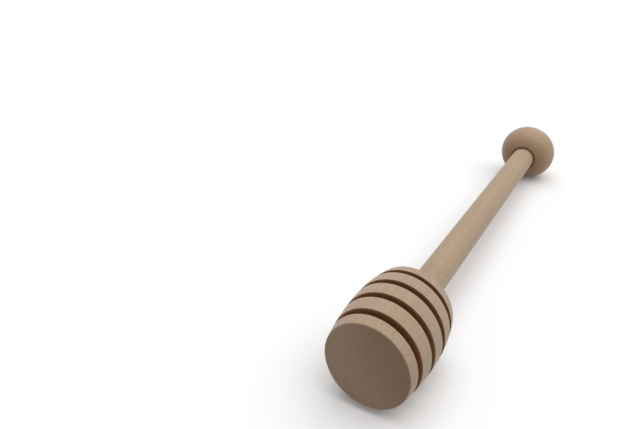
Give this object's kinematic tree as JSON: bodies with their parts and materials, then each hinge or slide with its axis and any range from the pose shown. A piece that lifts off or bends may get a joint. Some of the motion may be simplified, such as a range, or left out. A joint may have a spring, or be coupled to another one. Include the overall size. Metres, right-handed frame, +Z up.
{
  "type": "honey dipper",
  "caption": "Turned wooden honey dipper: a barrel head cut by deep round grooves, a straight round handle and a ball at its end.",
  "frame": {"origin": "on the surface that the dipper lies on, under the middle of its box", "axes": "+X along the dipper from the ball to the grooved head, +Z up; the dipper's own axis climbs by under a degree towards the head, because the head is thicker than the ball and both touch the surface"},
  "size_m": [0.1608, 0.0232, 0.0232],
  "materials": {
    "head_beech": "raw turned beech, sanded, unoiled",
    "handle_beech": "raw beech dowel, sanded, unoiled",
    "knob_beech": "raw turned beech ball, sanded, unoiled"
  },
  "bodies": {
    "root": {"head": "head_beech", "handle": "handle_beech", "knob": "knob_beech"}
  },
  "joints": []
}
